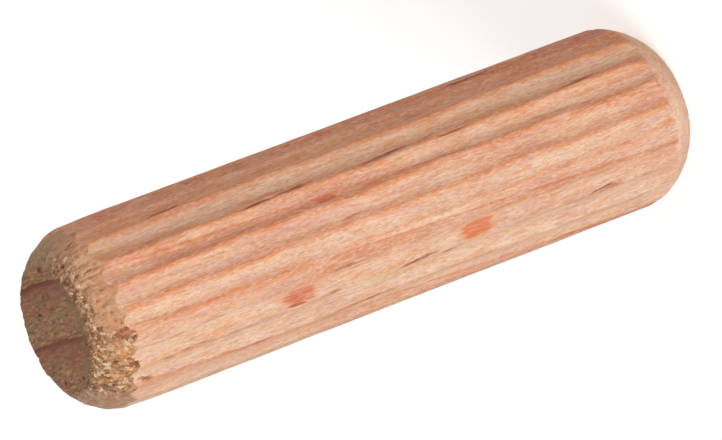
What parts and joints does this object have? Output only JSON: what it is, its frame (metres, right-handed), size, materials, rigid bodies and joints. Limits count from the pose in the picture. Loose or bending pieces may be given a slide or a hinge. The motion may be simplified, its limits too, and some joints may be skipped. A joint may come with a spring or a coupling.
{
  "type": "dowel pin",
  "caption": "Fluted wooden dowel pin: a straight round rod with shallow hollow flutes all round it and a crowned chamfer at each flat end.",
  "frame": {"origin": "centre of the lower end face, on which the pin stands", "axes": "+Z along the pin's axis, from the lower end face to the upper one; +X through the middle of the ridge between two flutes"},
  "size_m": [0.008, 0.008, 0.03],
  "materials": {
    "beech": "bare beech, long grain on the flutes, darker end grain and torn fibres at one chamfer"
  },
  "bodies": {
    "root": {"dowel": "beech"}
  },
  "joints": []
}
